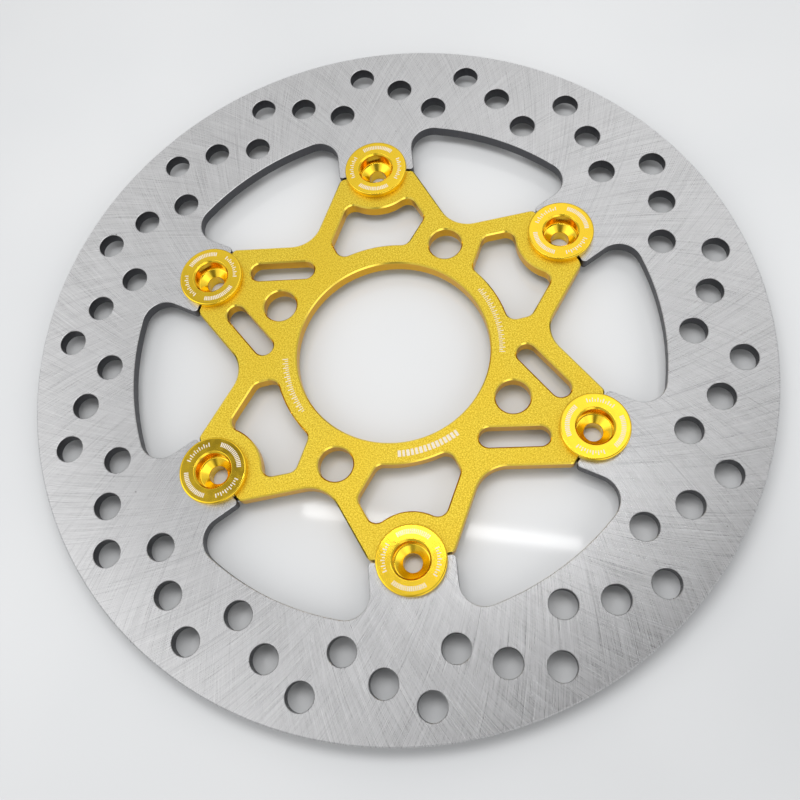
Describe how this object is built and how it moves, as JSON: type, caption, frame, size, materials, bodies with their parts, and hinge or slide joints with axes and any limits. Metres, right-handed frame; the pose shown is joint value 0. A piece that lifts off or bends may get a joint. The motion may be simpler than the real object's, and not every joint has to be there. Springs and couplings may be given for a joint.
{
  "type": "floating brake disc",
  "caption": "Floating brake disc: drilled steel ring on a star-shaped aluminium carrier, held by hollow flanged buttons with wave washers, flat washers and snap rings.",
  "frame": {"origin": "centre of the hub bore, on the carrier's rear mounting face", "axes": "+Z along the hub bore towards the front, where the button flanges are; +X along one of the two slotted arms of the carrier"},
  "size_m": [0.22, 0.22, 0.01],
  "materials": {
    "ground_steel": "cross-ground stainless steel",
    "blasted_gold": "bead-blasted, gold anodised",
    "polished_gold": "turned and polished, gold anodised",
    "spring_steel": "phosphated spring steel",
    "washer_steel": "plain stainless steel"
  },
  "bodies": {
    "carrier": {"carrier": "blasted_gold"},
    "brake_ring": {"brake_ring": "ground_steel"},
    "button_1": {"button_1": "polished_gold", "wave_washer_1": "spring_steel", "flat_washer_1": "washer_steel", "snap_ring_1": "spring_steel"},
    "button_2": {"button_2": "polished_gold", "wave_washer_2": "spring_steel", "flat_washer_2": "washer_steel", "snap_ring_2": "spring_steel"},
    "button_3": {"button_3": "polished_gold", "wave_washer_3": "spring_steel", "flat_washer_3": "washer_steel", "snap_ring_3": "spring_steel"},
    "button_4": {"button_4": "polished_gold", "wave_washer_4": "spring_steel", "flat_washer_4": "washer_steel", "snap_ring_4": "spring_steel"},
    "button_5": {"button_5": "polished_gold", "wave_washer_5": "spring_steel", "flat_washer_5": "washer_steel", "snap_ring_5": "spring_steel"},
    "button_6": {"button_6": "polished_gold", "wave_washer_6": "spring_steel", "flat_washer_6": "washer_steel", "snap_ring_6": "spring_steel"}
  },
  "joints": [
    {"name": "ring_float", "type": "slide", "parent": "carrier", "child": "brake_ring", "axis": [0, 0, 1], "range_m": [-0.0005, 0], "stiffness_N_per_m": 20000, "springref_m": 0.002, "deforming": ["wave_washer_1", "wave_washer_2", "wave_washer_3", "wave_washer_4", "wave_washer_5", "wave_washer_6"]},
    {"name": "button_1_spin", "type": "hinge", "parent": "carrier", "child": "button_1", "pos_m": [0.063, 0, 0], "axis": [0, 0, 1], "continuous": true},
    {"name": "button_2_spin", "type": "hinge", "parent": "carrier", "child": "button_2", "pos_m": [0.0315, 0.05456, 0], "axis": [0, 0, 1], "continuous": true},
    {"name": "button_3_spin", "type": "hinge", "parent": "carrier", "child": "button_3", "pos_m": [-0.0315, 0.05456, 0], "axis": [0, 0, 1], "continuous": true},
    {"name": "button_4_spin", "type": "hinge", "parent": "carrier", "child": "button_4", "pos_m": [-0.063, 0, 0], "axis": [0, 0, 1], "continuous": true},
    {"name": "button_5_spin", "type": "hinge", "parent": "carrier", "child": "button_5", "pos_m": [-0.0315, -0.05456, 0], "axis": [0, 0, 1], "continuous": true},
    {"name": "button_6_spin", "type": "hinge", "parent": "carrier", "child": "button_6", "pos_m": [0.0315, -0.05456, 0], "axis": [0, 0, 1], "continuous": true}
  ]
}
